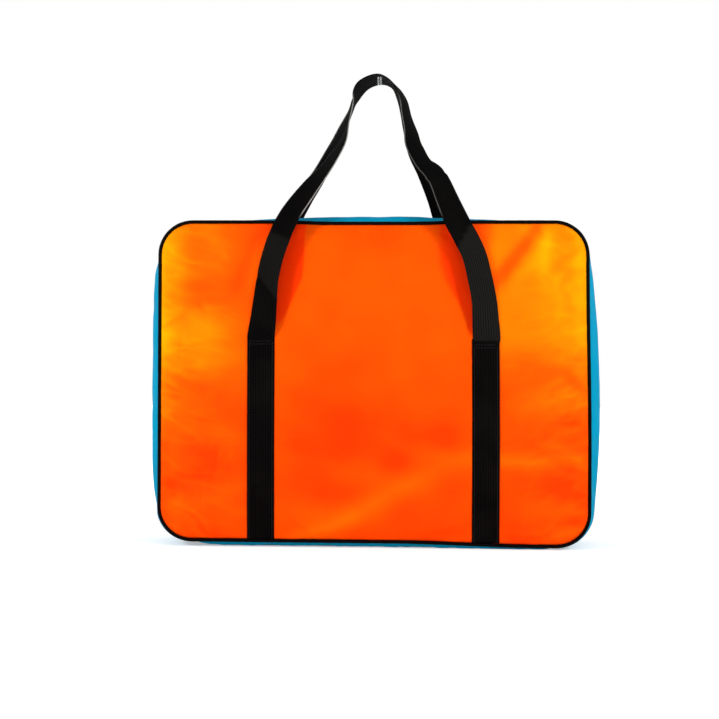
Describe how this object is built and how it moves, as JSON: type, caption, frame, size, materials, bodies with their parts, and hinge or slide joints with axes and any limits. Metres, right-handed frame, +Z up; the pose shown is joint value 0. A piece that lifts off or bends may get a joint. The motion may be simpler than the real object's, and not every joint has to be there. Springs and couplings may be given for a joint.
{
  "type": "lawn game carry bag",
  "caption": "Soft zipped carry bag with two webbing handles and piped faces, packed with a sectioned net rim, its legs, rolled net, balls and a hand pump.",
  "frame": {"origin": "on the ground under the middle of the standing bag", "axes": "+Z up, -Y out of the front face, +X to the right seen from the front"},
  "size_m": [0.632, 0.1713, 0.6638],
  "materials": {
    "orange_fabric": "plain woven polyester",
    "blue_fabric": "plain woven polyester",
    "foam": "closed-cell foam sheet",
    "lining": "thin woven lining",
    "piping": "covered cord",
    "board": "rigid plastic sheet",
    "webbing": "ribbed polypropylene webbing",
    "zip_tape": "woven zip tape",
    "zip_teeth": "moulded teeth",
    "slider_metal": "dark plated metal",
    "pull_rubber": "moulded tab",
    "steel": "drawn steel",
    "rim_plastic": "moulded tube",
    "leg_plastic": "moulded plastic",
    "foot_rubber": "soft rubber",
    "ball_rubber": "textured rubber",
    "net_cord": "knotted cord",
    "tie_band": "elastic band",
    "pump_plastic": "moulded barrel"
  },
  "bodies": {
    "bag": {"front_panel": "orange_fabric", "back_panel": "orange_fabric", "front_foam": "foam", "back_foam": "foam", "front_lining": "lining", "back_lining": "lining", "gusset": "blue_fabric", "gusset_end_left": "blue_fabric", "gusset_end_right": "blue_fabric", "front_piping": "piping", "back_piping": "piping", "base_board": "board", "zip_end_left": "zip_tape", "zip_end_right": "zip_tape", "zip_end_teeth": "zip_teeth", "zip_stops": "steel", "strap_front_left": "webbing", "strap_front_right": "webbing", "strap_back_left": "webbing", "strap_back_right": "webbing", "rim_section_1": "rim_plastic", "rim_section_2": "rim_plastic", "rim_section_3": "rim_plastic", "rim_section_4": "rim_plastic", "rim_section_5": "rim_plastic", "leg_1": "leg_plastic", "leg_2": "leg_plastic", "leg_3": "leg_plastic", "leg_4": "leg_plastic", "leg_5": "leg_plastic", "leg_feet": "foot_rubber", "ball_1": "ball_rubber", "ball_2": "ball_rubber", "ball_3": "ball_rubber", "net_roll": "net_cord", "net_ties": "tie_band", "pump_barrel": "pump_plastic", "pump_cap": "leg_plastic", "pump_needle": "steel"},
    "flap_front": {"top_flap_front": "blue_fabric", "zip_tape_front": "zip_tape", "zip_teeth_front": "zip_teeth"},
    "flap_back": {"top_flap_back": "blue_fabric", "zip_tape_back": "zip_tape", "zip_teeth_back": "zip_teeth"},
    "slider": {"zip_slider": "slider_metal"},
    "pull": {"zip_pull": "pull_rubber"},
    "handle_front": {"handle_front": "webbing"},
    "handle_back": {"handle_back": "webbing"},
    "plunger": {"pump_plunger": "steel"}
  },
  "joints": [
    {"name": "front_flap_lift", "type": "hinge", "parent": "bag", "child": "flap_front", "pos_m": [0, -0.0518, 0.4534], "axis": [1, 0, 0], "range_deg": [0, 80]},
    {"name": "back_flap_lift", "type": "hinge", "parent": "bag", "child": "flap_back", "pos_m": [0, 0.0518, 0.4534], "axis": [-1, 0, 0], "range_deg": [0, 80]},
    {"name": "slider_run", "type": "slide", "parent": "bag", "child": "slider", "axis": [1, 0, 0], "range_m": [0, 0.4824]},
    {"name": "pull_flip", "type": "hinge", "parent": "slider", "child": "pull", "pos_m": [-0.2412, 0, 0.4568], "axis": [0, 1, 0], "range_deg": [0, 180]},
    {"name": "front_handle_swing", "type": "hinge", "parent": "bag", "child": "handle_front", "pos_m": [0, -0.06275, 0.292], "axis": [1, 0, 0], "range_deg": [0, 145]},
    {"name": "back_handle_swing", "type": "hinge", "parent": "bag", "child": "handle_back", "pos_m": [0, 0.06275, 0.292], "axis": [-1, 0, 0], "range_deg": [0, 145]},
    {"name": "pump_stroke", "type": "slide", "parent": "bag", "child": "plunger", "axis": [0, 0, 1], "range_m": [0, 0.09]}
  ]
}
